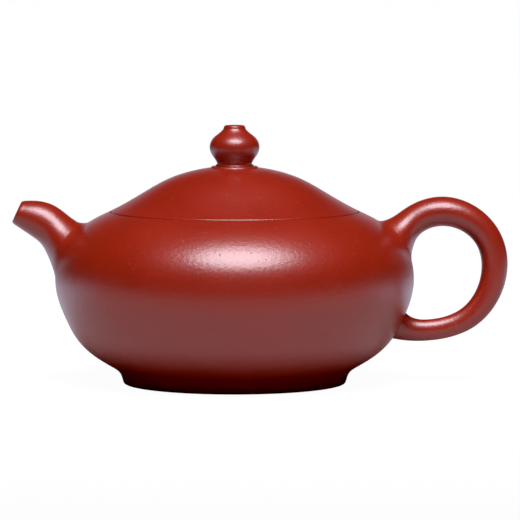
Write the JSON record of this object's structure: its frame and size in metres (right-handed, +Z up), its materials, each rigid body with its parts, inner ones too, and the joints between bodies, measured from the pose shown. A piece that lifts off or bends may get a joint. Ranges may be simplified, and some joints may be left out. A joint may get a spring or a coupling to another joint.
{
  "type": "teapot",
  "caption": "Low round-bellied unglazed red clay teapot with a short curved spout, a ring handle and a flush lift-off lid with a pear-shaped knob.",
  "frame": {"origin": "centre of the foot ring's standing face, on the pot's turning axis", "axes": "+Z up along the turning axis, +X towards the handle, -X towards the spout; the XZ plane is the mirror plane"},
  "size_m": [0.1485, 0.1076, 0.0775],
  "materials": {
    "red_clay": "burnished, satin",
    "lid_clay": "burnished, satin",
    "inside_clay": "scraped, matt"
  },
  "bodies": {
    "pot": {"foot_ring": "red_clay", "floor_disc": "inside_clay", "belly_wall": "red_clay", "shoulder_disc": "red_clay", "mouth_ring": "inside_clay", "spout": "red_clay", "ball_strainer": "inside_clay", "handle": "red_clay"},
    "lid": {"lid_dome": "lid_clay", "lid_flange": "inside_clay", "knob_collar": "lid_clay", "knob": "lid_clay"}
  },
  "joints": [
    {"name": "lid_lift", "type": "slide", "parent": "pot", "child": "lid", "axis": [0, 0, 1], "range_m": [0, 0.06]}
  ]
}
